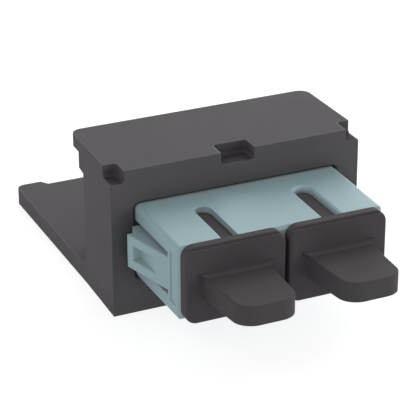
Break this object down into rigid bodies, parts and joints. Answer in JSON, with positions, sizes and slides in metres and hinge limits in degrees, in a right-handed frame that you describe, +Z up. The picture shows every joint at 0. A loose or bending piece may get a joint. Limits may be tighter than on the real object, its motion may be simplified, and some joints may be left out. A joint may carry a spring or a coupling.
{
  "type": "fibre adapter module",
  "caption": "Snap-in module for a face plate that holds a twin square-port fibre adapter in pale aqua, with grey dust caps that pull off the front ports.",
  "frame": {"origin": "centre of the flat underside, half way between the face and the end of the latch arm", "axes": "+X to the right as seen from the front, +Y from the front to the back along the latch arm, +Z up from the underside to the ledge"},
  "size_m": [0.0318, 0.057, 0.0183],
  "materials": {
    "housing": "fine grained",
    "adapter_body": "satin",
    "dust_cap": "satin",
    "sleeve_holder": "satin",
    "split_sleeve": "polished ceramic"
  },
  "bodies": {
    "module": {"module_housing": "housing", "adapter_front_half": "adapter_body", "adapter_rear_half": "adapter_body", "sleeve_holder_front_left": "sleeve_holder", "sleeve_holder_front_right": "sleeve_holder", "sleeve_holder_rear_left": "sleeve_holder", "sleeve_holder_rear_right": "sleeve_holder", "split_sleeve_left": "split_sleeve", "split_sleeve_right": "split_sleeve"},
    "cap_left": {"dust_cap_left": "dust_cap"},
    "cap_right": {"dust_cap_right": "dust_cap"}
  },
  "joints": [
    {"name": "cap_left_pull", "type": "slide", "parent": "module", "child": "cap_left", "axis": [0, -1, 0], "range_m": [0, 0.012]},
    {"name": "cap_right_pull", "type": "slide", "parent": "module", "child": "cap_right", "axis": [0, -1, 0], "range_m": [0, 0.012]}
  ]
}
